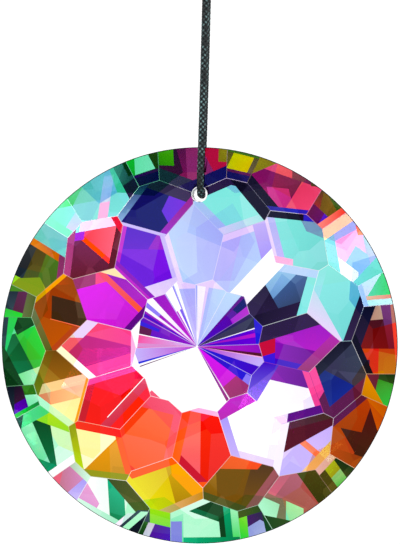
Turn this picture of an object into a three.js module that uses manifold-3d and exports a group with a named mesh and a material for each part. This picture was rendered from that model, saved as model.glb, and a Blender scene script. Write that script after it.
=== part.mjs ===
// Crystal suncatcher: a round, faceted crystal hung by a loop of braided cord.
//
// Millimetres, +Z up. The crystal's front looks along -Y. The origin is the point under the top
// of the cord's eye where a hook bears, and the crystal hangs plumb below it.

import * as THREE from 'three';
import { mergeVertices } from 'three/addons/utils/BufferGeometryUtils.js';
import Module from 'manifold-3d';

const wasm = await Module();
wasm.setup();

// ---------------------------------------------------------------- driving dimensions

const CRYSTAL_RADIUS = 37.5;
const HANG_TO_CENTRE = 91;      // from the hook's bearing point down to the middle of the crystal
const SECTORS = 12;             // the cut repeats this many times round the crystal
const FIRST_PETAL = -3;         // degrees clockwise from the top, seen from the front

// How far from the middle the corners of the facets lie. A "petal" corner lies on the middle line
// of a petal facet, and a "star" corner halfway between two petals.
const STAR_NOTCH = 11.5;        // petal line: where two facets of the star meet a petal
const PETAL_SHOULDER = 21.4;    // star line: where two petals and a shield meet
const PETAL_TIP = 26.7;         // petal line: where a petal and two shields meet
const RIM_KITE_FOOT = 28.8;     // petal line: where two shields and a rim kite meet
const RIM_FORK = 32;            // beside the star line: where shield, rim kite and wedge meet
const RIM_FORK_ANGLE = 3.6;     // degrees from the star line to that corner

// Steepness of the facets: how far each falls away for each millimetre out from the middle.
const STAR_SLOPE = 0.1;
const PETAL_SLOPE = 0.2;
const WEDGE_SLOPE = 0.45;
const GIRDLE = 1.4;             // thickness of the round edge at its thinnest
const WEDGE_STEPS = 4;          // straight steps in the round edge across a wedge
const KITE_SIDE_STEPS = 2;      // and between a wedge of the front and the next one of the back

const HOLE = { radius: 1.4, x: -0.3, above: 28.5, sides: 36 };   // drilled straight through

const CORD = { radius: 0.675, sides: 8, steps: 52, eyeSteps: 27 };
const KNOT = { wraps: 5, core: 1.6, height: 6.4, middle: -20, sides: 28, arcSteps: 5 };

// Where the middle of the cord runs, x, y, z. Down in front, through the hole and up behind:
const STRAND_ROUTE = [
  [0.0, -0.8, -23.9],
  [0.0, -2.2, -31.5],
  [0.0, -3.6, -39.5],
  [-0.02, -4.9, -47.0],
  [-0.05, -6.0, -53.3],
  [-0.08, -6.8, -57.6],
  [-0.1, -6.85, -60.0],
  [-0.1, -6.0, -61.7],
  [-0.1, -4.3, -62.42],
  [-0.1, -2.0, -62.5],
  [-0.1, 0.0, -62.5],
  [-0.12, 2.0, -62.5],
  [-0.2, 4.3, -62.42],
  [-0.28, 6.0, -61.7],
  [-0.32, 6.85, -60.0],
  [-0.3, 6.8, -57.6],
  [-0.2, 6.0, -53.3],
  [-0.07, 4.9, -47.0],
  [0.07, 3.6, -39.5],
  [0.2, 2.2, -31.5],
  [0.33, 0.8, -23.9],
];
// and the eye above the knot:
const EYE_ROUTE = [
  [-0.9, 0.0, -16.1],
  [-1.6, 0.0, -13.0],
  [-3.1, 0.0, -8.8],
  [-3.85, 0.0, -4.6],
  [-3.2, 0.0, -1.2],
  [-1.4, 0.0, 0.48],
  [0.0, 0.0, 0.675],
  [1.4, 0.0, 0.48],
  [3.2, 0.0, -1.2],
  [3.85, 0.0, -4.6],
  [3.1, 0.0, -8.8],
  [1.6, 0.0, -13.0],
  [0.9, 0.0, -16.1],
];

const radians = THREE.MathUtils.degToRad;
const HALF_SECTOR = Math.PI / SECTORS;

// ---------------------------------------------------------------- shared helpers

const material = (color, roughness, extra = {}) =>
  new THREE.MeshStandardMaterial({ color, roughness, metalness: 0, ...extra });

function named(name, geometry, look) {
  geometry.computeVertexNormals();
  const mesh = new THREE.Mesh(geometry, look);
  mesh.name = name;
  return mesh;
}

/** The geometry with only its positions left and shared corners merged. */
function bare(geometry) {
  const copy = geometry.clone();
  copy.deleteAttribute('normal');
  copy.deleteAttribute('uv');
  return mergeVertices(copy, 1e-4);
}

function solid(geometry) {
  const merged = bare(geometry);
  return new wasm.Manifold(new wasm.Mesh({
    numProp: 3,
    vertProperties: new Float32Array(merged.attributes.position.array),
    triVerts: new Uint32Array(merged.index.array),
  }));
}

function fromSolid(body) {
  const { vertProperties, triVerts } = body.getMesh();
  const geometry = new THREE.BufferGeometry();
  geometry.setAttribute('position', new THREE.BufferAttribute(new Float32Array(vertProperties), 3));
  geometry.setIndex(new THREE.BufferAttribute(new Uint32Array(triVerts), 1));
  return geometry;
}

// ---------------------------------------------------------------- the crystal's cut

/**
 * The planes of the five tiers of facets. A tier's facet stands at
 * depth = height - slope * distance out * cos(angle from the facet's own middle line),
 * and each tier after the first is set so that it meets the one inside it at both shared corners.
 */
function cutTiers() {
  const c = Math.cos(HALF_SECTOR);
  const fork = radians(RIM_FORK_ANGLE);
  const star = { slope: STAR_SLOPE };
  const petal = { slope: PETAL_SLOPE };
  const meets = (inner, near, far) => inner.slope * (near * c - far) / (near - far * c);
  const shield = { slope: meets(petal, PETAL_SHOULDER, PETAL_TIP) };
  const kite = {
    slope: shield.slope * (RIM_KITE_FOOT * c - RIM_FORK * Math.cos(fork))
      / (RIM_KITE_FOOT - RIM_FORK * Math.cos(HALF_SECTOR - fork)),
  };
  const wedge = { slope: WEDGE_SLOPE };

  // Heights, from the thin rim up to the point in the middle.
  kite.height = GIRDLE / 2 + kite.slope * CRYSTAL_RADIUS;
  const footDepth = kite.height - kite.slope * RIM_KITE_FOOT;
  shield.height = footDepth + shield.slope * RIM_KITE_FOOT * c;
  const forkDepth = shield.height - shield.slope * RIM_FORK * Math.cos(fork);
  wedge.height = forkDepth + wedge.slope * RIM_FORK * Math.cos(fork);
  const tipDepth = shield.height - shield.slope * PETAL_TIP * c;
  petal.height = tipDepth + petal.slope * PETAL_TIP;
  const notchDepth = petal.height - petal.slope * STAR_NOTCH;
  star.height = notchDepth + star.slope * STAR_NOTCH * c;
  return { star, petal, shield, kite, wedge };
}

/** How far out on the star line the tip of a star facet meets the two petals beside it. */
function starTip({ star, petal }) {
  const c = Math.cos(HALF_SECTOR);
  return (star.height - petal.height) / (star.slope - petal.slope * c);
}

/** The angle from the star line at which the edge between wedge and rim kite reaches the rim. */
function wedgeEndAngle({ kite, wedge }) {
  let low = 0;
  let high = HALF_SECTOR;
  for (let i = 0; i < 40; i += 1) {
    const a = (low + high) / 2;
    const onWedge = wedge.height - wedge.slope * CRYSTAL_RADIUS * Math.cos(a);
    const onKite = kite.height - kite.slope * CRYSTAL_RADIUS * Math.cos(HALF_SECTOR - a);
    if (onWedge < onKite) low = a;
    else high = a;
  }
  return (low + high) / 2;
}

/**
 * The steps of the round edge, as angles clockwise from the top. Round each half sector's line
 * the edge has a wedge's width of even steps, and then a few to the next line, so that a corner
 * falls wherever a wedge of the front or of the back reaches the edge.
 */
function rimAngles() {
  const wedgeEnd = wedgeEndAngle(cutTiers());
  const angles = [];
  for (let line = 0; line < 2 * SECTORS; line += 1) {
    const middle = radians(FIRST_PETAL) + HALF_SECTOR * line;
    for (let i = 0; i < WEDGE_STEPS; i += 1) {
      angles.push(middle - wedgeEnd + 2 * wedgeEnd * i / WEDGE_STEPS);
    }
    const gap = HALF_SECTOR - 2 * wedgeEnd;
    for (let i = 0; i < KITE_SIDE_STEPS; i += 1) {
      angles.push(middle + wedgeEnd + gap * i / KITE_SIDE_STEPS);
    }
  }
  return angles;
}

/**
 * One face of the crystal: its facets as polygons, and rimAt, which gives its corner on the round
 * edge at an angle. side is -1 for the front, which looks along -Y, and 1 for the back. The face's
 * first petal line is firstLine half sectors clockwise from the front's.
 */
function cutFace(side, firstLine) {
  const tiers = cutTiers();
  const tipRadius = starTip(tiers);
  const wedgeEnd = wedgeEndAngle(tiers);
  const fork = radians(RIM_FORK_ANGLE);
  const angles = rimAngles();
  const stepsPerLine = WEDGE_STEPS + KITE_SIDE_STEPS;

  // A corner at a distance out and an angle clockwise from the top, on a tier with its own line.
  const corner = (tier, line, out, angle) => {
    const depth = tier.height - tier.slope * out * Math.cos(angle - line);
    return [out * Math.sin(angle), side * depth, out * Math.cos(angle)];
  };
  const lineAngle = (number) => radians(FIRST_PETAL) + HALF_SECTOR * number;
  const rimAt = (angle) => {
    const sectors = (angle - lineAngle(firstLine)) / (2 * HALF_SECTOR);
    const petal = lineAngle(firstLine) + 2 * HALF_SECTOR * Math.round(sectors);
    const star = lineAngle(firstLine) + 2 * HALF_SECTOR * (Math.floor(sectors) + 0.5);
    const onWedge = Math.abs(angle - star) < wedgeEnd - 1e-9;
    return onWedge
      ? corner(tiers.wedge, star, CRYSTAL_RADIUS, angle)
      : corner(tiers.kite, petal, CRYSTAL_RADIUS, angle);
  };
  // The corners on the round edge from one step to another, counted on round the whole edge.
  const arc = (from, to) => {
    const corners = [];
    for (let i = from; i <= to; i += 1) {
      corners.push(rimAt(angles[(i + angles.length) % angles.length]));
    }
    return corners;
  };

  const polygons = [];
  for (let k = 0; k < SECTORS; k += 1) {
    const number = firstLine + 2 * k;
    const petal = lineAngle(number);
    const last = petal - HALF_SECTOR;
    const star = petal + HALF_SECTOR;
    const next = petal + 2 * HALF_SECTOR;
    const apex = [0, side * tiers.star.height, 0];
    const notch = (line) => corner(tiers.petal, line, STAR_NOTCH, line);
    const tip = (line) => corner(tiers.star, line, tipRadius, line);
    const shoulder = (line) => corner(tiers.shield, line, PETAL_SHOULDER, line);
    const petalTip = (line) => corner(tiers.petal, line, PETAL_TIP, line);
    const foot = (line) => corner(tiers.kite, line, RIM_KITE_FOOT, line);
    const forkBeside = (line, angle) => {
      const depth = tiers.shield.height - tiers.shield.slope * RIM_FORK * Math.cos(angle);
      return [RIM_FORK * Math.sin(line + angle), side * depth, RIM_FORK * Math.cos(line + angle)];
    };
    const kiteArc = arc((number - 1) * stepsPerLine + WEDGE_STEPS, (number + 1) * stepsPerLine);
    const wedgeArc = arc((number + 1) * stepsPerLine, (number + 1) * stepsPerLine + WEDGE_STEPS);

    polygons.push(
      [apex, notch(petal), tip(star), notch(next)],
      [notch(petal), tip(last), shoulder(last), petalTip(petal), shoulder(star), tip(star)],
      [shoulder(star), petalTip(petal), foot(petal), forkBeside(star, -fork),
        forkBeside(star, fork), foot(next), petalTip(next)],
      [foot(petal), forkBeside(last, fork), ...kiteArc, forkBeside(star, -fork)],
      [forkBeside(star, -fork), ...wedgeArc, forkBeside(star, fork)],
    );
  }
  return { polygons, rimAt };
}

/** A flat polygon as a fan of triangles that face the same way as outward. */
function fan(polygon, outward) {
  const corners = polygon.map((p) => new THREE.Vector3(...p));
  const turn = new THREE.Vector3();
  for (let i = 0; i < corners.length; i += 1) {
    turn.add(corners[i].clone().cross(corners[(i + 1) % corners.length]));
  }
  if (turn.dot(outward) < 0) corners.reverse();
  const triangles = [];
  for (let i = 1; i < corners.length - 1; i += 1) {
    triangles.push(...corners[0], ...corners[i], ...corners[i + 1]);
  }
  return triangles;
}

/** The whole cut crystal before it is drilled. The back is turned half a sector to the front. */
function crystalBlank() {
  const front = cutFace(-1, 0);
  const back = cutFace(1, 1);
  const points = [];
  front.polygons.forEach((p) => points.push(...fan(p, new THREE.Vector3(0, -1, 0))));
  back.polygons.forEach((p) => points.push(...fan(p, new THREE.Vector3(0, 1, 0))));
  const angles = rimAngles();
  angles.forEach((angle, i) => {
    const next = angles[(i + 1) % angles.length];
    const wall = [front.rimAt(angle), front.rimAt(next), back.rimAt(next), back.rimAt(angle)];
    points.push(...fan(wall, new THREE.Vector3(wall[0][0], 0, wall[0][2])));
  });
  const geometry = new THREE.BufferGeometry();
  geometry.setAttribute('position', new THREE.Float32BufferAttribute(points, 3));
  return geometry;
}

function crystalDisc() {
  const drill = new THREE.CylinderGeometry(HOLE.radius, HOLE.radius, 30, HOLE.sides);
  drill.translate(HOLE.x, 0, HOLE.above);
  const drilled = solid(crystalBlank()).subtract(solid(drill));
  return fromSolid(drilled).translate(0, 0, -HANG_TO_CENTRE);
}

// ---------------------------------------------------------------- the cord

/** A round tube whose middle runs smoothly through the points of a route. */
function cordAlong(route, steps) {
  const section = new THREE.Shape();
  for (let i = 0; i < CORD.sides; i += 1) {
    const a = 2 * Math.PI * i / CORD.sides;
    const at = [CORD.radius * Math.cos(a), CORD.radius * Math.sin(a)];
    if (i === 0) section.moveTo(...at);
    else section.lineTo(...at);
  }
  section.closePath();
  const path = new THREE.CatmullRomCurve3(route.map((p) => new THREE.Vector3(...p)), false, 'centripetal');
  return bare(new THREE.ExtrudeGeometry(section, { steps, bevelEnabled: false, extrudePath: path }));
}

/** The barrel of the knot: the cord wound closely round the strands, one rounded band a turn. */
function knotBarrel() {
  const band = KNOT.height / KNOT.wraps;
  const profile = [new THREE.Vector2(0, -KNOT.height / 2)];
  for (let turn = 0; turn < KNOT.wraps; turn += 1) {
    const middle = -KNOT.height / 2 + band * (turn + 0.5);
    for (let i = 0; i <= KNOT.arcSteps; i += 1) {
      const a = Math.PI * (i / KNOT.arcSteps - 0.5);
      const out = KNOT.core + CORD.radius + CORD.radius * Math.cos(a);
      if (i > 0 || turn === 0) profile.push(new THREE.Vector2(out, middle + band / 2 * Math.sin(a)));
    }
  }
  profile.push(new THREE.Vector2(0, KNOT.height / 2));
  const barrel = bare(new THREE.LatheGeometry(profile, KNOT.sides));
  return barrel.rotateX(Math.PI / 2).translate(0, 0, KNOT.middle);
}

// ---------------------------------------------------------------- the whole suncatcher

const crystal = material(0xd9c6ee, 0.03, { transparent: true, opacity: 0.6 });
const braid = material(0x121a1b, 0.75);

const suncatcher = new THREE.Group();
suncatcher.add(
  named('crystal_disc', crystalDisc(), crystal),
  named('hanging_cord', cordAlong(STRAND_ROUTE, CORD.steps), braid),
  named('cord_knot', knotBarrel(), braid),
  named('cord_eye', cordAlong(EYE_ROUTE, CORD.eyeSteps), braid),
);

export default suncatcher;
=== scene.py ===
"""Crystal suncatcher: a round, faceted crystal with a coloured film, hung by a braided cord."""

import math

import bmesh
import bpy
import numpy as np
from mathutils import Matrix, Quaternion, Vector


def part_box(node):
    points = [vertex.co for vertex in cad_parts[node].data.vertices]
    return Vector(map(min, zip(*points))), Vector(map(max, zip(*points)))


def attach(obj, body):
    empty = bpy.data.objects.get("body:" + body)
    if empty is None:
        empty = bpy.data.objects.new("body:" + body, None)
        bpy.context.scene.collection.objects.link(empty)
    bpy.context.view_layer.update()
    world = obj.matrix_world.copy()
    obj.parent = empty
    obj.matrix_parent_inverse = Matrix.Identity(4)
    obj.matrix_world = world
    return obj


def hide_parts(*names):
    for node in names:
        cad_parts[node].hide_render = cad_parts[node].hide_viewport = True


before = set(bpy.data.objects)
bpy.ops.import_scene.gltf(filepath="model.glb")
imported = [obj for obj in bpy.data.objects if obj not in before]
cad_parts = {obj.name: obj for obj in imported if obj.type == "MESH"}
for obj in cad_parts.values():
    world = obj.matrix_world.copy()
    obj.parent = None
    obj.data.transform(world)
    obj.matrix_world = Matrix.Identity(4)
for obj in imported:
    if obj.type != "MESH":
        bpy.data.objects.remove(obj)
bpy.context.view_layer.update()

MM = 0.001
SECTOR = math.radians(30)
FIRST_PETAL = math.radians(-3)


# ---------------------------------------------------------------- the room

CRYSTAL_LOW, CRYSTAL_HIGH = (np.array(corner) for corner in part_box("crystal_disc"))
CENTRE = (CRYSTAL_LOW + CRYSTAL_HIGH) / 2
RADIUS = (CRYSTAL_HIGH[2] - CRYSTAL_LOW[2]) / 2


LENS = 209.66            # millimetres, on a 36 mm frame
CAMERA_DISTANCE = 0.6
CAMERA_AIM = CENTRE + MM * np.array([-0.13, 0, 13.88])
CAMERA_TURNED = math.radians(2.6)
CAMERA_ROLLED = math.radians(1.08)
STUDIO_STRENGTH = 1.12
FLOOR_HALF_WIDTH = 0.55
FLOOR_DROP = 0.1


def make_camera():
    """A long lens that stands level with the cord's lower end, a little to the right."""
    data = bpy.data.cameras.new("camera")
    data.sensor_width = 36
    data.lens = LENS
    data.clip_start = 0.02
    data.clip_end = 20
    camera = bpy.data.objects.new("camera", data)
    bpy.context.collection.objects.link(camera)
    back = np.array([math.sin(CAMERA_TURNED), -math.cos(CAMERA_TURNED), 0])
    camera.location = CAMERA_AIM + CAMERA_DISTANCE * back
    camera.rotation_mode = "QUATERNION"
    camera.rotation_quaternion = (
        Quaternion((0, 0, 1), CAMERA_TURNED)
        @ Quaternion((1, 0, 0), math.pi / 2)
        @ Quaternion((0, 0, 1), CAMERA_ROLLED)
    )
    bpy.context.scene.camera = camera


def area_light(name, place, aim, size, power):
    """A soft square lamp that faces a point."""
    data = bpy.data.lights.new(name, "AREA")
    data.shape = "SQUARE"
    data.size = size
    data.energy = power
    lamp = bpy.data.objects.new(name, data)
    bpy.context.collection.objects.link(lamp)
    lamp.location = place
    lamp.rotation_mode = "QUATERNION"
    lamp.rotation_quaternion = (Vector(aim) - Vector(place)).to_track_quat("-Z", "Y")


def make_world():
    """A soft white studio all round."""
    world = bpy.data.worlds.new("studio")
    bpy.context.scene.world = world
    world.use_nodes = True
    surround = world.node_tree.nodes["Background"]
    surround.inputs["Color"].default_value = (1, 1, 1, 1)
    surround.inputs["Strength"].default_value = STUDIO_STRENGTH


def make_floor():
    """A plain pale floor, well below the hanging crystal."""
    half, level = FLOOR_HALF_WIDTH, CRYSTAL_LOW[2] - FLOOR_DROP
    corners = [(-half, -half, level), (half, -half, level), (half, half, level), (-half, half, level)]
    mesh = bpy.data.meshes.new("floor")
    mesh.from_pydata(corners, [], [(0, 1, 2, 3)])
    floor = bpy.data.objects.new("floor", mesh)
    bpy.context.collection.objects.link(floor)
    look = bpy.data.materials.new("floor")
    look.use_nodes = True
    shader = look.node_tree.nodes["Principled BSDF"]
    shader.inputs["Base Color"].default_value = (0.86, 0.86, 0.86, 1)
    shader.inputs["Roughness"].default_value = 0.9
    mesh.materials.append(look)


# ---------------------------------------------------------------- shared helpers

def linear(red, green, blue):
    """A screen colour of 0 to 255 a channel as the light it stands for."""
    screen = np.array([red, green, blue]) / 255
    return tuple(np.where(screen > 0.04045, ((screen + 0.055) / 1.055) ** 2.4, screen / 12.92))


def add_piece(name, mesh):
    """An object at the origin that rides with the rest of the suncatcher."""
    piece = bpy.data.objects.new(name, mesh)
    bpy.context.collection.objects.link(piece)
    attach(piece, "root")
    return piece


def unit(vectors):
    """Each vector divided by its length."""
    return vectors / np.linalg.norm(vectors, axis=-1, keepdims=True)


def new_look(name):
    """An empty material, with its nodes and links."""
    look = bpy.data.materials.new(name)
    look.use_nodes = True
    return look, look.node_tree.nodes, look.node_tree.links


def spread(tree, value, start, end):
    """A value carried from one range of numbers to another."""
    node = tree.nodes.new("ShaderNodeMapRange")
    node.inputs["From Min"].default_value = start[0]
    node.inputs["From Max"].default_value = start[1]
    node.inputs["To Min"].default_value = end[0]
    node.inputs["To Max"].default_value = end[1]
    tree.links.new(value, node.inputs["Value"])
    return node.outputs[0]


def mixed(tree, factor, first, second):
    """A blend from one colour to another."""
    node = tree.nodes.new("ShaderNodeMix")
    node.data_type = "RGBA"
    node.inputs["A"].default_value = (*first, 1)
    node.inputs["B"].default_value = (*second, 1)
    tree.links.new(factor, node.inputs["Factor"])
    return node.outputs["Result"]


def raised(tree, height, strength, distance):
    """The normals of a surface raised by a height."""
    node = tree.nodes.new("ShaderNodeBump")
    node.inputs["Strength"].default_value = strength
    node.inputs["Distance"].default_value = distance
    tree.links.new(height, node.inputs["Height"])
    return node.outputs[0]


def noise(tree, where, scale, stretched=None):
    """Noise over a surface, in a pattern that may be stretched first."""
    if stretched:
        stretch = tree.nodes.new("ShaderNodeMapping")
        stretch.inputs["Scale"].default_value = stretched
        tree.links.new(where, stretch.inputs["Vector"])
        where = stretch.outputs[0]
    node = tree.nodes.new("ShaderNodeTexNoise")
    node.inputs["Scale"].default_value = scale
    tree.links.new(where, node.inputs["Vector"])
    return node.outputs["Fac"]


# ---------------------------------------------------------------- the cord

CORD_DIAMETER = 1.35 * MM

# Where the middle of the cord runs: down in front, through the hole and up behind,
STRAND_ROUTE = MM * np.array([
    [0.0, -0.8, -23.9],
    [0.0, -2.2, -31.5],
    [0.0, -3.6, -39.5],
    [-0.02, -4.9, -47.0],
    [-0.05, -6.0, -53.3],
    [-0.08, -6.8, -57.6],
    [-0.1, -6.85, -60.0],
    [-0.1, -6.0, -61.7],
    [-0.1, -4.3, -62.42],
    [-0.1, -2.0, -62.5],
    [-0.1, 0.0, -62.5],
    [-0.12, 2.0, -62.5],
    [-0.2, 4.3, -62.42],
    [-0.28, 6.0, -61.7],
    [-0.32, 6.85, -60.0],
    [-0.3, 6.8, -57.6],
    [-0.2, 6.0, -53.3],
    [-0.07, 4.9, -47.0],
    [0.07, 3.6, -39.5],
    [0.2, 2.2, -31.5],
    [0.33, 0.8, -23.9],
])
# and the eye above the knot.
EYE_ROUTE = MM * np.array([
    [-0.9, 0.0, -16.1],
    [-1.6, 0.0, -13.0],
    [-3.1, 0.0, -8.8],
    [-3.85, 0.0, -4.6],
    [-3.2, 0.0, -1.2],
    [-1.4, 0.0, 0.48],
    [0.0, 0.0, 0.675],
    [1.4, 0.0, 0.48],
    [3.2, 0.0, -1.2],
    [3.85, 0.0, -4.6],
    [3.1, 0.0, -8.8],
    [1.6, 0.0, -13.0],
    [0.9, 0.0, -16.1],
])
# Inside the knot the ends of both stretches run on, held by its turns.
FRONT_END = MM * np.array([[0.0, -0.95, -18.0], [0.0, -0.9, -21.0]])
REAR_END = MM * np.array([[0.5, 0.7, -21.0], [0.8, 0.4, -18.5]])
EYE_LEFT_END = MM * np.array([[-0.7, 0.5, -21.5], [-0.85, 0.3, -18.5]])
EYE_RIGHT_END = MM * np.array([[0.8, 0.35, -18.5]])

LAY = 4.25 * MM          # length in which a yarn of the braid goes once round
YARNS_EACH_WAY = 4
# The yarns, in diameters of the cord: how far out they run, how far they swing, and their section.
YARN_OUT = 0.335
YARN_SWING = 0.05
YARN_WIDTH = 0.19
YARN_THICKNESS = 0.13
YARN_SIDES = 8
LINE_STEP = 0.2 * MM

# The knot, in millimetres.
KNOT_TURNS = 5
KNOT_MIDDLE = -20.0
KNOT_HEIGHT = 5.1
KNOT_OUT = 2.275
KNOT_TUCKED = 1.3


def smooth_line(route, step):
    """Evenly spaced points on the smooth line through a route: each stretch between two points is
    the cubic whose slope at a point is half the step from its neighbour before to the one after."""
    before = np.vstack([2 * route[0] - route[1], route[:-1]])
    after = np.vstack([route[1:], 2 * route[-1] - route[-2]])
    slope = (after - before) / 2
    t = np.linspace(0, 1, 40, endpoint=False)[None, :, None]
    a, b, m, n = (v[:, None, :] for v in (route[:-1], route[1:], slope[:-1], slope[1:]))
    line = ((2 * t**3 - 3 * t**2 + 1) * a + (t**3 - 2 * t**2 + t) * m
            + (-2 * t**3 + 3 * t**2) * b + (t**3 - t**2) * n).reshape(-1, 3)
    line = np.vstack([line, route[-1]])
    run = np.concatenate([[0], np.cumsum(np.linalg.norm(np.diff(line, axis=0), axis=1))])
    even = np.linspace(0, run[-1], max(2, round(run[-1] / step)) + 1)
    return np.stack([np.interp(even, run, line[:, i]) for i in range(3)], axis=1)


def braid(line, across):
    """The yarns of a round braid along a line. Each yarn winds round the line once a lay, half of
    them each way, and swings out and in four times a lay, so that it passes over one yarn and
    under the next. Its section is an oval, wider across than it is thick. across is a direction
    that the line never takes, from which the winding angle is counted. Returns rings of points,
    indexed by yarn, place along it and place round it, the distance along the line, and how far
    out from the line each point lies, in diameters of the cord."""
    run = np.concatenate([[0], np.cumsum(np.linalg.norm(np.diff(line, axis=0), axis=1))])
    ahead = unit(np.gradient(line, axis=0))
    side = unit(np.asarray(across, float) - ahead * (ahead @ np.asarray(across, float))[:, None])
    up = np.cross(ahead, side)
    yarn = np.arange(2 * YARNS_EACH_WAY)
    way = np.where(yarn < YARNS_EACH_WAY, 1, -1)[:, None]
    start = (yarn % YARNS_EACH_WAY)[:, None] * 2 * math.pi / YARNS_EACH_WAY + math.pi / 8
    turn = 2 * math.pi * run[None, :] / LAY
    angle = way * turn + start
    out = CORD_DIAMETER * (YARN_OUT + way * YARN_SWING * np.cos(YARNS_EACH_WAY * turn))
    outward = np.cos(angle)[..., None] * side + np.sin(angle)[..., None] * up
    middle = line + out[..., None] * outward
    along = unit(np.gradient(middle, axis=1))
    outward = unit(outward - along * (outward * along).sum(-1, keepdims=True))
    sideways = np.cross(along, outward)
    round_it = np.linspace(0, 2 * math.pi, YARN_SIDES, endpoint=False)
    width, thickness = YARN_WIDTH * CORD_DIAMETER, YARN_THICKNESS * CORD_DIAMETER
    rings = (middle[:, :, None, :]
             + width * np.cos(round_it)[:, None] * sideways[:, :, None, :]
             + thickness * np.sin(round_it)[:, None] * outward[:, :, None, :])
    return rings, run, np.linalg.norm(rings - line[:, None, :], axis=-1) / CORD_DIAMETER


def tube_faces(tubes, steps, sides):
    """Faces over a set of tubes: a wall of four-sided faces between rings, and a cap at each end."""
    i, j = np.meshgrid(np.arange(steps - 1), np.arange(sides), indexing="ij")
    walls = []
    ends = []
    for tube in range(tubes):
        base = tube * steps * sides
        k = (j + 1) % sides
        quads = np.stack([i * sides + j, i * sides + k, (i + 1) * sides + k, (i + 1) * sides + j], -1)
        walls.append(base + quads.reshape(-1, 4))
        ends.append(list(base + np.arange(sides)[::-1]))
        ends.append(list(base + (steps - 1) * sides + np.arange(sides)))
    return np.vstack(walls).tolist() + ends


def braided_mesh(name, stretches):
    """One mesh of the braids along several lines, each given with its across direction, with how
    far along and how far round a yarn each corner lies as its UV map."""
    points, faces, uv, heights = [], [], [], []
    for line, across in stretches:
        rings, run, height = braid(line, across)
        count, steps, sides, _ = rings.shape
        base = sum(len(p) for p in points)
        points.append(rings.reshape(-1, 3))
        heights.append(height.ravel())
        faces += [[base + int(v) for v in face] for face in tube_faces(count, steps, sides)]
        along = np.broadcast_to(run[None, :, None] / CORD_DIAMETER, rings.shape[:3])
        around = np.broadcast_to(np.arange(sides)[None, None, :] / sides, rings.shape[:3])
        uv.append(np.stack([along, around], -1).reshape(-1, 2))
    mesh = bpy.data.meshes.new(name)
    mesh.from_pydata(np.vstack(points), [], faces)
    layer = mesh.uv_layers.new(name="yarn")
    corner_vertex = np.empty(len(mesh.loops), np.int32)
    mesh.loops.foreach_get("vertex_index", corner_vertex)
    layer.data.foreach_set("uv", np.vstack(uv)[corner_vertex].ravel())
    out = mesh.attributes.new("height", "FLOAT", "POINT")
    out.data.foreach_set("value", np.concatenate(heights))
    mesh.polygons.foreach_set("use_smooth", np.ones(len(mesh.polygons), bool))
    mesh.update()
    return mesh


def wound_line():
    """The line of the knot's turns: a helix round the strands that tucks inward at both ends."""
    u = np.linspace(0, 1, 240)
    angle = 2 * math.pi * KNOT_TURNS * u + math.pi / 2
    tuck = np.clip(np.minimum(u, 1 - u) * KNOT_TURNS / 0.4, 0, 1)
    out = KNOT_TUCKED + (KNOT_OUT - KNOT_TUCKED) * tuck * tuck * (3 - 2 * tuck)
    level = KNOT_MIDDLE + KNOT_HEIGHT * (u - 0.5)
    return smooth_line(MM * np.stack([out * np.cos(angle), out * np.sin(angle), level], 1), LINE_STEP)


def make_cord(look):
    """The braided cord, strands and eye, and the knot wound round it."""
    strands = smooth_line(np.vstack([FRONT_END, STRAND_ROUTE, REAR_END]), LINE_STEP)
    eye = smooth_line(np.vstack([EYE_LEFT_END, EYE_ROUTE, EYE_RIGHT_END]), LINE_STEP)
    stretches = [(strands, (1, 0, 0)), (eye, (0, 1, 0))]
    cord = add_piece("braided_cord", braided_mesh("braided_cord", stretches))
    knot = add_piece("wound_knot", braided_mesh("wound_knot", [(wound_line(), (0, 0, 1))]))
    for piece in (cord, knot):
        piece.data.materials.append(look)
    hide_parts("hanging_cord", "cord_eye")
    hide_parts("cord_knot")


def cord_look():
    """Waxed black braid, black between the yarns, with a painted pale teal highlight on their crowns,
    patchy by noise, and fine fibres along them."""
    look, nodes, links = new_look("cord")
    tree = look.node_tree
    shader = nodes["Principled BSDF"]
    shader.inputs["Specular IOR Level"].default_value = 0.22
    height = nodes.new("ShaderNodeAttribute")
    height.attribute_name = "height"
    place = nodes.new("ShaderNodeTexCoord")
    yarn = nodes.new("ShaderNodeUVMap")
    yarn.uv_map = "yarn"
    # Painted highlight: the colour turns pale teal on the yarns' crowns, patchy by noise.
    crown = spread(tree, height.outputs["Fac"], (0.475, 0.515), (0, 1))
    glint_patchiness = spread(tree, noise(tree, place.outputs["Object"], 420), (0.42, 0.62), (0, 1))
    painted_glint = nodes.new("ShaderNodeMath")
    painted_glint.operation = "MULTIPLY"
    links.new(crown, painted_glint.inputs[0])
    links.new(glint_patchiness, painted_glint.inputs[1])
    colour = mixed(tree, painted_glint.outputs[0], linear(14, 20, 22), linear(112, 150, 150))
    fibre = noise(tree, yarn.outputs[0], 3, stretched=(1.5, 14, 1))
    links.new(colour, shader.inputs["Base Color"])
    links.new(spread(tree, crown, (0, 1), (0.6, 0.28)), shader.inputs["Roughness"])
    links.new(raised(tree, fibre, 0.35, 0.03 * MM), shader.inputs["Normal"])
    return look
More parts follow.
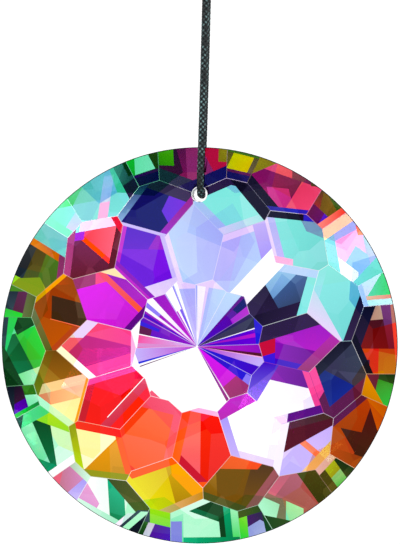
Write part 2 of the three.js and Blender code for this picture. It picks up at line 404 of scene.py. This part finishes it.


# ---------------------------------------------------------------- the crystal

# Colours of the thin film on the facets, and of the painted reflections, highlights and shade laid on
# them.
FILM = {
    "white": (255, 255, 255), "pearl": (244, 238, 253), "ice": (180, 208, 247),
    "periwinkle": (174, 184, 242), "lilac": (196, 180, 246), "lavender": (230, 210, 248),
    "blush": (250, 178, 222), "aqua": (134, 230, 224), "turquoise": (120, 212, 210),
    "seafoam": (110, 222, 178), "sky": (146, 196, 236), "steel": (74, 116, 180),
    "cobalt": (34, 60, 156), "slate": (58, 66, 88), "ink": (26, 26, 46), "shadow": (54, 40, 80),
    "navy": (24, 28, 104), "royal": (52, 44, 214), "indigo": (76, 28, 194), "iris": (144, 128, 240),
    "violet": (112, 24, 216), "grape": (94, 16, 132), "purple": (146, 34, 190),
    "orchid": (190, 40, 200), "magenta": (220, 40, 240), "fuchsia": (204, 46, 150),
    "pink": (244, 66, 146), "rose": (240, 92, 120), "coral": (250, 128, 96), "salmon": (246, 104, 84),
    "red": (242, 28, 46), "ruby": (228, 26, 50), "scarlet": (240, 42, 30), "orange": (248, 80, 28),
    "tangerine": (244, 158, 26), "amber": (198, 136, 24), "mustard": (210, 170, 24),
    "ochre": (166, 122, 18), "yellow": (232, 220, 24), "straw": (254, 248, 198),
    "cream": (254, 230, 176), "peach": (252, 206, 160), "olive": (144, 148, 30),
    "moss": (82, 88, 34), "khaki": (138, 126, 96), "bronze": (114, 78, 18), "brown": (150, 68, 26),
    "rust": (186, 78, 24), "umber": (72, 50, 34), "maroon": (88, 26, 42), "brick": (140, 34, 34),
    "plum": (100, 38, 84), "mulberry": (152, 58, 112), "wine": (146, 22, 92), "cerise": (188, 38, 110),
    "crimson": (196, 32, 66), "dusky": (152, 82, 86), "dusty": (186, 108, 120), "mauve": (214, 142, 202),
    "lime": (188, 228, 22), "green": (48, 214, 72), "leaf": (66, 128, 34), "forest": (26, 66, 36),
    "emerald": (16, 128, 80), "jade": (22, 184, 136), "mint": (208, 250, 226),
}
# The film on the front, tier by tier and facet by facet, clockwise from the top. The first word
# is a facet's main colour: the film's tint, on the darker facets painted shade as well. After each
# semicolon comes a part of it in another colour, a painted reflection of the facets inside the
# stone, light or dark: a part "4:.2" is the last fifth of the facet towards four o'clock, "20-35" is
# what lies between those two bearings from the crystal's middle, and "&" asks for both. "a>b@6"
# runs from one colour to the other towards six o'clock.
FRONT_FILM = {
    "star": [
        "periwinkle>ice@3; 359-367 white>pearl@6; 367-370 lavender; 12.3:.12 lavender",
        "ice>periwinkle@7; 40-58 indigo>grape@2; 41-43 grape; 1.2:.26&43-52 navy; "
        "2:.36&50-58 violet>orchid@3",
        "slate>shadow@8; 55-61 navy>shadow@3; 72-88 indigo>violet@4; 76-80 purple>orchid@3; "
        "71-72 white; "
        "2.8:.12 royal",
        "purple>violet@9; 88-95 orchid>purple@3; 95-98 plum>maroon@3; 98-99 blush; "
        "99-107 orchid>lilac@4; "
        "107-118 royal>indigo@4",
        "indigo>royal@3; 126-148 magenta>orchid@6; 4.6:.3&126-148 fuchsia>mulberry@5; "
        "4:.16&118-126 iris",
        "white; 148-151 purple>mulberry@6",
        "white",
        "white; 7.4:.07&210-225 rose",
        "white; 253-268 orchid>lilac@9; 252-254 royal; 249-250 plum; 8.3:.1 white",
        "pink>lilac@3; 268-272 mauve; 281-298 indigo>purple@3; 9.4:.3&281-289 plum; "
        "9.6:.4&289-293 royal; "
        "280-281 white; 9.2:.12 white",
        "purple>orchid@4; 303-306 white>lavender@4; 310-316 lavender>white@10; 298-301 indigo; "
        "10.6:.3&306-310 iris",
        "lilac>periwinkle@12; 328-330 orchid; 330-333 white; 333-337 iris>violet@5; 338-341 white; "
        "11:.4&328-336 white; 11.9:.12&341-358 lavender",
    ],
    "petal": [
        "periwinkle>ice@8; 8.4:.08 lavender",
        "ice>periwinkle@9; 9.4:.3 lilac>periwinkle@8; 11.4:.1 lavender; 2.5:.2 lilac>iris@5; "
        "4.4:.22 white",
        "steel>slate@5; 10.4:.4 sky>steel@6; 8:.34 ink>shadow@6; 5.4:.22 ink>shadow@4; 3.5:.14 aqua; "
        ".4:.12 ice; 10.4:.13 white",
        "orchid>purple@12; 6.4:.38 grape>purple@9; 6.4:.1 indigo; 9:.2 royal>violet@12; "
        "9:.2&11.4:.5 crimson; 11.4:.26 shadow; 4.5:.16 orchid>mulberry@6",
        "white>pearl@2; 12.4:.28 purple>grape@3; 10:.22 indigo>iris@6; 2.4:.09 pink; "
        "5.5:.13 pearl>lavender@5; 5.5:.13&3.2:.45 grape",
        "white; 3.4:.12 pearl; 6.5:.1&6:.3 lavender; 8.4:.14 lilac>iris@12; 11:.18 mulberry>orchid@12",
        "rose>salmon@12; 3:.52 red>ruby@6; 7.5:.12 crimson; 9.4:.14 salmon>orange@9; "
        "12.4:.06 blush; 5.9:.07 orange",
        "orange>salmon@1; 10.4:.12 scarlet; 12.5:.16 ruby>rose@2; 3.4:.13 salmon>rose@1; "
        "7.2:.05 scarlet",
        "ruby>red@7; 9.5:.11 crimson; 11.4:.1 pink; 4.4:.3 rose>crimson@5; 4.4:.15 red; "
        "4.4:.31&2.6:.62&4.4:.31 white; "
        "4.4:.295&2.6:.64 rose>crimson@5; 4.4:.15 red",
        "cerise>fuchsia@3; 12.4:.26 rose>pink@3; 5.4:.22 pink; 10.5:.15 rose; 10.5:.15&12:.3 lavender; "
        "7.4:.1 white; 3:.06 blush",
        "magenta>orchid@5; 11.5:.17 rose>pink@1; 11.5:.17&9:.3 mulberry; 1.4:.27 orange>rose@11; "
        "1.4:.17 purple>orchid@5; 12.5:.13 cream; 4.4:.08 grape",
        "violet; 12:.32 purple>violet@8; 12:.32&10:.45 violet>indigo@12; 9.4:.06 orchid; "
        "2.4:.07 lilac; "
        "5.2:.16 lilac>lavender@7; 7.4:.12 purple; 7.4:.05 orchid",
    ],
    "shield": [
        "aqua; 7.5:.14 periwinkle>aqua@1; 5.35:.14 lavender>aqua@2; 11.2:.15 shadow; .4:.1 shadow; "
        "1.7:.2 ink",
        "aqua>turquoise@4; 8.5:.18 lilac>periwinkle@12; 8.5:.05 lavender; 6.3:.12&9:.45 blush; "
        ".2:.12 ink; .2:.12&3:.4 royal",
        "aqua>turquoise@5; 9.5:.14 aqua>ice@6; 8:.3 aqua>lavender@7; 3.7:.14 shadow>ink@12",
        "shadow>slate@2; 7:.5 navy>cobalt@5; 4.7:.2 plum; 10.5:.18 ink>slate@5; 8.4:.14 plum; "
        "8.4:.14&10:.4 pink",
        "lilac>lavender@7; 7.3:.56&4.3:.55 coral; 7.3:.48&4.3:.55 lilac; 11:.46 maroon; "
        "11.5:.13 plum>umber@2; "
        "9.4:.14 pearl; 4.4:.15 mustard>peach@7",
        "bronze; 3.5:.42 umber>bronze@6; 8.93:.18 amber>bronze@7; 12:.24&10.5:.55 orange>rust@7; "
        "6.7:.13 umber>moss@8; 4.2:.15 dusky",
        "mustard>yellow@8; 2.5:.42 ochre>mustard@12; 1.5:.25&3:.4 tangerine; 11.4:.14 orange; "
        "5.2:.13 peach>amber@3; 7.7:.1 yellow",
        "straw; 4.5:.47 tangerine>amber@6; 6.2:.24&3:.3 amber; 2.5:.12 orange; 12.4:.15 scarlet>red@2; "
        "8.7:.13 olive>lime@6; 6.2:.12 olive",
        "cream>straw@6; 11.5:.68 coral>peach@3; 11.5:.52 peach; 11.5:.4 amber>bronze@12; "
        "9.7:.15 bronze>olive@7; "
        "7.2:.12 mint; 3.5:.05 tangerine",
        "brown>rust@7; 3:.64&12.43:.64&6.43:.7 umber; 6.43:.4 brown>rust@5; "
        "6.43:.41&3:.66&12.43:.6 coral; "
        "11.9:.14 orange>brown@2; 8.2:.12 khaki>moss@6; 10.67:.07 tangerine",
        "maroon>plum@12; 1.3:.53 scarlet; 1.3:.47 rose>ruby@9; 3.35:.12 maroon; 11.7:.32&9:.3 purple; "
        "11.7:.17 lavender>blush@3; 11.7:.17&9:.2 aqua; 9.2:.13 plum>mulberry@9; 1.9:.08 crimson",
        "navy; 3.8:.4&2:.46 royal>violet@3; 12.7:.2 slate>shadow@2; 10.2:.12 sky>navy@12; "
        "4.35:.12 wine>purple@6; "
        "6.5:.05 lilac",
    ],
    "kite": [
        "mulberry; 8.84:.4 wine>plum@12; 8.84:.22&12:.42 lime>leaf@7; 2:.3&4:.5 crimson; "
        "3.03:.12&12:.3 olive; 6.67:.22 shadow>slate@9; 5.2:.22 shadow>navy@3",
        "wine>plum@2; 6.2:.45&8.5:.55 fuchsia>cerise@4; 6.2:.45&8.5:.25 wine; 4.03:.3 crimson>rose@5; "
        "12.6:.2 dusky>plum@3; 12.6:.2&9:.6 crimson>rose@12; 11.2:.17 moss>olive@10; 3:.14&12:.5 moss; "
        "7.67:.16 ink; 6.2:.08 royal>navy@9",
        "sky>lilac@5; 8.7:.74&5.2:.72 blush; 7.2:.6&4:.5 sky; 7.2:.22&9:.6 white; "
        "8.7:.2 turquoise>sky@2; "
        "2.5:.2 seafoam>lilac@5; 2.5:.3&4.4:.7&12:.3 coral; 4.4:.2 aqua>seafoam@3; 10.8:.15 cream; "
        "10.8:.15&2.8:.45 orange; 10.8:.15&7:.3 violet",
        "brick>maroon@1; 11.8:.2 coral>peach@3; 9.7:.2 shadow>ink@12; 2.6:.26 mulberry>plum@6; "
        "6:.36 rust>scarlet@3; 6:.36&3:.4 rust>amber@6; 6:.2&9:.4 navy>plum@3; 8.2:.12 ink; "
        "2.8:.08 coral",
        "brown>rust@12; 6.4:.5&9:.8 umber>maroon@3; 6.4:.5&8:.3 rust; 3.4:.34 maroon>umber@6; "
        "2.4:.24 tangerine>rust@2; 10.7:.12 plum; 6.6:.18 bronze>rust@9",
        "dusky>dusty@1; 10.2:.16 dusty>rose@6; 1.84:.24 moss>forest@6; 6.8:.44&9:.62 mint>seafoam@8; "
        "6.8:.44&9:.38 dusky>khaki@6; 6.8:.36&9.4:.3 olive>mint@8; 6.4:.18 forest>moss@3",
        "mint; .67:.32 forest>emerald@9; .67:.22&2.84:.6 forest; 2.84:.28 forest; "
        "2.84:.2 jade>emerald@5; "
        "2.6:.1 mint>green@6; 5.93:.13 emerald>jade@9; 9.03:.18 seafoam>mint@12; "
        "9.03:.16&5.9:.5 iris; 11.2:.1 mint",
        "mint; 8.9:.66 jade>emerald@7; 8.9:.44 mint>white@9; 10:.3&8:.3 blush>mauve@7; "
        "1.4:.26&12:.7 forest>moss@3; "
        "6.9:.12 seafoam>mint@9; 4.6:.3&6:.36 pearl; 4.6:.24&6:.42 slate; 4.6:.2&6:.4 mint; "
        "4.6:.12&6:.5 ink",
        "mint; 8.7:.64 emerald>forest@12; 8.3:.3 mint>seafoam@7; 6.6:.2 jade>emerald@4; "
        "12.6:.24 green>lime@12; "
        "11:.16 green>seafoam@9; 9.3:.1 slate>emerald@6; 5:.1 white",
        "leaf>green@2; 8:.6 forest>emerald@7; 11.3:.26 green>seafoam@11; 11:.3&2:.4 forest; "
        "9.6:.26 green>jade@7; "
        "5.3:.2 mint>green@9; 9.4:.1 forest>slate@12; 8:.3&6:.6&9:.8 forest",
        "leaf>moss@7; 9.5:.5 moss>umber@11; 9.8:.2 ink>slate@12; 1.03:.36 tangerine>rust@3; "
        "3.2:.12 plum>mulberry@6; "
        "6.8:.14 moss>lime@9; 5.9:.26&8:.4&4.5:.5 olive; 1.03:.26 seafoam>turquoise@3",
        "aqua>turquoise@11; 9.2:.62&5.67:.8 lavender>aqua@12; 9.2:.48&5.67:.9 aqua>seafoam@9; "
        "9.2:.62&5.67:.3 blush; "
        "9.2:.48&5.67:.36 aqua; 9.8:.14&8:.5 green>seafoam@12; 2.03:.2 slate>shadow@3; "
        "2.03:.2&10.9:.5 turquoise>slate@3; "
        "2.03:.06&10.9:.4 forest",
    ],
    "wedge": [
        "lime>yellow@4; 9.8:.22 olive>moss@12; 3.9:.14 khaki>moss@2; 12.4:.08 leaf; 6.43:.34 plum; "
        "6.43:.24 shadow>navy@8",
        "moss>olive@3; 9.4:.3 crimson>moss@1; 2:.2 leaf; 7.43:.44 violet>royal@4; "
        "7.43:.44&10:.45 grape>plum@10; "
        "4.84:.2 cream>orange@3",
        "seafoam>green@3; 10:.34 lavender>mint@12; 6:.3 coral>peach@9; 6:.18 mint; 8.4:.15 ice",
        "leaf>green@5; 12.6:.3 leaf>forest@12; 9.43:.44 plum>maroon@3; 8:.36 tangerine>amber@7",
        "forest>moss@7; 7.84:.64 mint>green@5; 7.84:.64&10.43:.62 olive>lime@10; 7.84:.24 moss; "
        "10.43:.24 mustard>lavender@9",
        "shadow>grape@8; 4.9:.44&7:.7 iris>lilac@4; 8.6:.26 lime>green@7; 11.5:.25 moss>forest@3; "
        "2.6:.2 forest",
        "grape>indigo@4; 9.84:.34 blush>lavender@6; 9.84:.14 leaf>forest@7; .43:.5 mint>pearl@10; "
        ".43:.5&10:.3 slate; .43:.5&3.03:.64 green>lime@12",
        "mauve>dusty@9; 4.6:.36 iris>lilac@6; 9.5:.22 dusty>rose@7; 1.5:.24 khaki>mint@3",
        "plum>ink@11; 5.03:.4 grape>violet@7; 9:.24 slate>ink@12; 2.43:.42 mint>seafoam@6; "
        "2.43:.42&12:.3 leaf; 5.03:.12 emerald>green@8",
        "maroon>plum@2; 9.6:.3 slate>ink@12; 6.5:.26 leaf>green@6; 12:.2 moss>leaf@12; "
        "3.43:.34 khaki>moss@3",
        "turquoise>seafoam@9; 4:.34 lilac>turquoise@12; 11.6:.2 green>seafoam@9; 7:.24 seafoam",
        "leaf>moss@3; 8.03:.3 leaf>green@10; 2.84:.4 moss>forest@6; 5.43:.42 grape>plum@2; "
        "5.43:.32 navy>shadow@9; "
        "8.03:.7&2.84:.74&11.4:.56 white>mint@9",
    ],
}
# The plainer film on the back, one colour to a facet, clockwise as seen from the front.
BACK_FILM = {
    "star": "white pearl white white white white white white white white white pearl",
    "petal": "pearl white white white white white white white white white white white",
    "shield": "white white white pearl white white white straw straw white white white",
    "kite": "lavender blush ice peach peach mint mint white mint mint pearl seafoam",
    "wedge": "straw white coral peach straw mint white mint mint straw ice lavender",
}
LINE_HALF_WIDTH = 0.05 * MM
RIM_LINE_HALF_WIDTH = 0.15 * MM
HOLE_LINE_HALF_WIDTH = 0.12 * MM
SNAP = math.radians(9)
# Marks of the bevel faces: between facets a painted highlight, on the rim and round the hole painted
# shade.
FACET_HIGHLIGHT_LINE, RIM_SHADE_LINE, HOLE_SHADE_LINE = -1, -2, -3


def crystal_solid():
    """The cut solid with one face to a facet, from the frame's triangles."""
    solid = bmesh.new()
    solid.from_mesh(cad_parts["crystal_disc"].data)
    bmesh.ops.remove_doubles(solid, verts=solid.verts, dist=0.002 * MM)
    bmesh.ops.dissolve_limit(solid, angle_limit=math.radians(0.4), verts=solid.verts, edges=solid.edges)
    return solid


def facet_place(face):
    """The side, tier and number of a facet, from how steep it stands and which way it looks. What
    is neither front nor back is the rim or the wall of the hole."""
    normal = face.normal
    steep = math.hypot(normal.x, normal.z) / max(abs(normal.y), 1e-6)
    if steep > 2:
        middle = face.calc_center_median()
        return ("rim" if math.hypot(middle.x, middle.z - CENTRE[2]) > 0.9 * RADIUS else "hole"), "", 0
    side = "front" if normal.y < 0 else "back"
    turned = FIRST_PETAL + (0 if side == "front" else SECTOR / 2)
    sectors = (math.atan2(normal.x, normal.z) - turned) / SECTOR
    if abs(sectors - round(sectors)) < 0.25:
        return side, ("petal" if steep < 0.32 else "kite"), round(sectors) % 12
    tier = "star" if steep < 0.16 else "shield" if steep < 0.36 else "wedge"
    return side, tier, math.floor(sectors) % 12


def towards(hour):
    """The direction of a clock hour on the crystal as seen from the front."""
    return np.array([math.sin(math.radians(30 * hour)), 0, math.cos(math.radians(30 * hour))])


class Facet:
    """A facet while its film is laid: its corners and the faces that it is cut into."""

    def __init__(self, solid, layer, number):
        self.solid, self.layer, self.number = solid, layer, number
        self.corners = np.array([tuple(v.co) for face in self.faces() for v in face.verts])
        along = np.roll(self.corners, -1, axis=0) - self.corners
        self.edge_normals = unit(np.stack([along[:, 2], 0 * along[:, 0], -along[:, 0]], axis=1))
        outward = ((self.corners + along / 2 - self.corners.mean(axis=0)) * self.edge_normals).sum(axis=1)
        self.edge_normals *= np.sign(outward)[:, None]
        self.edge_normals = self.edge_normals[np.linalg.norm(along, axis=1) > 1.2 * MM]

    def faces(self):
        """The faces that the facet is cut into so far."""
        return [face for face in self.solid.faces if face[self.layer] == self.number]

    def squared(self, direction):
        """The direction, or that of an edge's normal where it lies close to one."""
        match = self.edge_normals @ direction
        best = int(np.argmax(match))
        return self.edge_normals[best] if match[best] > math.cos(SNAP) else direction

    def limits(self, part):
        """The half-planes that bound a part, each as a point on its line and its inward normal."""
        if "-" in part:
            first, last = (math.radians(float(bearing)) for bearing in part.split("-"))
            return [(CENTRE, np.array([math.cos(first), 0, -math.sin(first)])),
                    (CENTRE, np.array([-math.cos(last), 0, math.sin(last)]))]
        hour, share = (float(word) for word in part.split(":"))
        direction = self.squared(towards(hour))
        reach = self.corners @ direction
        return [(direction * (reach.max() - share * np.ptp(reach)), direction)]

    def cut(self, point, normal):
        """Cuts the facet's faces along a plane."""
        faces = self.faces()
        edges = dict.fromkeys(edge for face in faces for edge in face.edges)
        verts = dict.fromkeys(vert for face in faces for vert in face.verts)
        bmesh.ops.bisect_plane(self.solid, geom=[*faces, *edges, *verts], dist=1e-8,
                               plane_co=tuple(point), plane_no=tuple(normal))

    def lay(self, film, colour, limits):
        """Colours the corners of the faces that lie inside all of the limits."""
        start, _, rest = colour.partition(">")
        end, _, hour = rest.partition("@")
        direction = towards(float(hour or 0))
        reach = self.corners @ direction
        a, b = np.array(linear(*FILM[start])), np.array(linear(*FILM[end or start]))
        for face in self.faces():
            middle = np.array(face.calc_center_median())
            if all((middle - point) @ normal > 0 for point, normal in limits):
                for loop in face.loops:
                    share = (np.array(loop.vert.co) @ direction - reach.min()) / np.ptp(reach)
                    loop[film] = (*(a + (b - a) * min(max(share, 0), 1)), 1)


def lay_film(solid, places, layer, film):
    """Lays every facet's film, with its parts of painted reflection."""
    for number, (side, tier, index) in enumerate(places):
        if side not in ("front", "back"):
            continue
        facet = Facet(solid, layer, number)
        recipe = FRONT_FILM[tier][index] if side == "front" else BACK_FILM[tier].split()[index]
        main, *parts = recipe.split("; ")
        areas = []
        for part in parts:
            where, colour = part.split()
            limits = [limit for piece in where.split("&") for limit in facet.limits(piece)]
            areas.append((colour, limits))
            for point, normal in limits:
                facet.cut(point, normal)
        facet.lay(film, main, [])
        for colour, limits in areas:
            facet.lay(film, colour, limits)


def colour_lines(solid, layer, film):
    """The polished edges: between facets the mean of the facets beside them, faded more or less
    to white as a painted highlight, and along the rim and round the hole dark as painted shade."""
    chance = np.random.default_rng(7)
    painted_shade_colours = [np.array(linear(*FILM[name])) for name in ("ink", "slate", "forest", "umber", "shadow")]
    for face in solid.faces:
        if face[layer] == FACET_HIGHLIGHT_LINE:
            beside = [near for edge in face.edges for near in edge.link_faces if near[layer] >= 0]
            shades = [np.array(loop[film][:3]) for near in beside for loop in near.loops]
            mean = np.mean(shades, axis=0) if shades else np.ones(3)
            # Painted highlight: the mean of the facets beside, faded toward white by a random amount.
            shade = mean + (1 - mean) * chance.uniform(0.0, 0.6)
        elif face[layer] == RIM_SHADE_LINE:
            # Painted shade: a random dark colour on the rim's bevel.
            shade = painted_shade_colours[chance.integers(len(painted_shade_colours))]
        elif face[layer] == HOLE_SHADE_LINE:
            # Painted shade: a dark ring round the hole.
            shade = painted_shade_colours[0]
        else:
            continue
        for loop in face.loops:
            loop[film] = (*shade, 1)


def make_crystal(look, wall_look):
    """The crystal with its polished edges, painted as highlights or shade, and the film's colours on its
    facets, with their painted reflections.
    """
    solid = crystal_solid()
    layer = solid.faces.layers.int.new("facet")
    film = solid.loops.layers.float_color.new("film")
    places = [facet_place(face) for face in solid.faces]
    for number, face in enumerate(solid.faces):
        face[layer] = number
        face.material_index = 1 if places[number][0] == "hole" else 0
        for loop in face.loops:
            loop[film] = (1, 1, 1, 1)
    for edge in solid.edges:
        edge.smooth = False
    sides = {number: place[0] for number, place in enumerate(places)}
    sides |= dict.fromkeys((FACET_HIGHLIGHT_LINE, RIM_SHADE_LINE, HOLE_SHADE_LINE), "line")
    # The front's bevels: round the hole and along the rim marked for painted shade, between facets for a
    # painted highlight.
    for wanted, width, mark in (({"front", "hole"}, HOLE_LINE_HALF_WIDTH, HOLE_SHADE_LINE),
                                ({"front", "rim"}, RIM_LINE_HALF_WIDTH, RIM_SHADE_LINE),
                                ({"front"}, LINE_HALF_WIDTH, FACET_HIGHLIGHT_LINE)):
        sharp = [edge for edge in solid.edges if edge.calc_face_angle(0) > math.radians(1.5)
                 and {sides[face[layer]] for face in edge.link_faces} == wanted]
        made = bmesh.ops.bevel(solid, geom=sharp, offset=width, offset_type="OFFSET", segments=1,
                               profile=0.5, affect="EDGES", clamp_overlap=False, material=-1)
        for face in made["faces"]:
            face[layer] = mark
    lay_film(solid, places, layer, film)
    colour_lines(solid, layer, film)
    mesh = bpy.data.meshes.new("faceted_crystal")
    solid.to_mesh(mesh)
    mesh.materials.append(look)
    mesh.materials.append(wall_look)
    crystal = add_piece("faceted_crystal", mesh)
    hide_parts("crystal_disc")


def crystal_look():
    """Clear polished crystal. At each facet its film tints the light, in patches that differ a
    little in hue and depth: painted reflections of the other facets."""
    look, nodes, links = new_look("crystal")
    tree = look.node_tree
    nodes.remove(nodes["Principled BSDF"])
    glass = nodes.new("ShaderNodeBsdfGlass")
    glass.inputs["Roughness"].default_value = 0.0
    glass.inputs["IOR"].default_value = 1.54
    film = nodes.new("ShaderNodeVertexColor")
    film.layer_name = "film"
    place = nodes.new("ShaderNodeTexCoord")
    # Voronoi patches, a painted reflection of the other facets: a small shift of hue, saturation and
    # depth.
    reflection_patch = nodes.new("ShaderNodeTexVoronoi")
    reflection_patch.inputs["Scale"].default_value = 120
    split = nodes.new("ShaderNodeSeparateColor")
    drift = nodes.new("ShaderNodeHueSaturation")
    deepen = nodes.new("ShaderNodeGamma")
    links.new(place.outputs["Object"], reflection_patch.inputs["Vector"])
    links.new(reflection_patch.outputs["Color"], split.inputs["Color"])
    links.new(spread(tree, split.outputs["Red"], (0, 1), (0.493, 0.507)), drift.inputs["Hue"])
    links.new(spread(tree, split.outputs["Green"], (0, 1), (0.97, 1.02)), drift.inputs["Saturation"])
    links.new(spread(tree, split.outputs["Blue"], (0, 1), (0.88, 1.16)), deepen.inputs["Gamma"])
    links.new(film.outputs["Color"], drift.inputs["Color"])
    links.new(drift.outputs["Color"], deepen.inputs["Color"])
    links.new(deepen.outputs["Color"], glass.inputs["Color"])
    links.new(glass.outputs[0], nodes["Material Output"].inputs["Surface"])
    return look


def drilled_look():
    """The ground wall of the hole: frosted crystal, with the fine rings of the drill."""
    look, nodes, links = new_look("drilled wall")
    tree = look.node_tree
    shader = nodes["Principled BSDF"]
    shader.inputs["Transmission Weight"].default_value = 0.5
    place = nodes.new("ShaderNodeTexCoord")
    grain = noise(tree, place.outputs["Object"], 1, stretched=(300, 4000, 300))
    links.new(mixed(tree, grain, (0.86, 0.88, 0.9), (1, 1, 1)), shader.inputs["Base Color"])
    links.new(spread(tree, grain, (0, 1), (0.5, 0.7)), shader.inputs["Roughness"])
    links.new(raised(tree, grain, 0.3, 0.02 * MM), shader.inputs["Normal"])
    return look


# ---------------------------------------------------------------- the whole scene

make_camera()
make_cord(cord_look())
make_world()
make_floor()
area_light("key", (-0.7, -0.9, 0.5), CENTRE, 0.5, 8)
area_light("fill", (0.8, -0.7, 0.2), CENTRE, 0.4, 4)
make_crystal(crystal_look(), drilled_look())
bpy.context.scene.view_settings.view_transform = "Standard"
